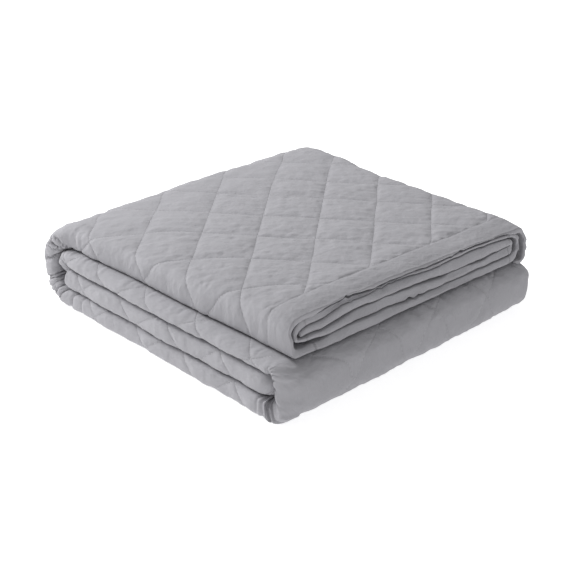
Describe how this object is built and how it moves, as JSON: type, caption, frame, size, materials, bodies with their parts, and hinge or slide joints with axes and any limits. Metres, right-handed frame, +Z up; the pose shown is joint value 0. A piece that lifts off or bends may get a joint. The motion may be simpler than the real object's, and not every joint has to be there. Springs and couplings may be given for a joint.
{
  "type": "cooling blanket",
  "caption": "Thin quilted cooling blanket with diamond seams and a stitched hem, folded flat into a square stack for storing or stacking.",
  "frame": {"origin": "middle of the folded stack on the floor it rests on", "axes": "+Z up from the floor; +Y from the hemmed front end to the folded back end; +X along the hem from the folded left side to the free long edge at the right"},
  "size_m": [0.4026, 0.414, 0.1097],
  "materials": {
    "quilted_cloth": "matt fine woven cloth, pale grey with a slight lilac cast"
  },
  "bodies": {
    "root": {"blanket": "quilted_cloth"}
  },
  "joints": []
}
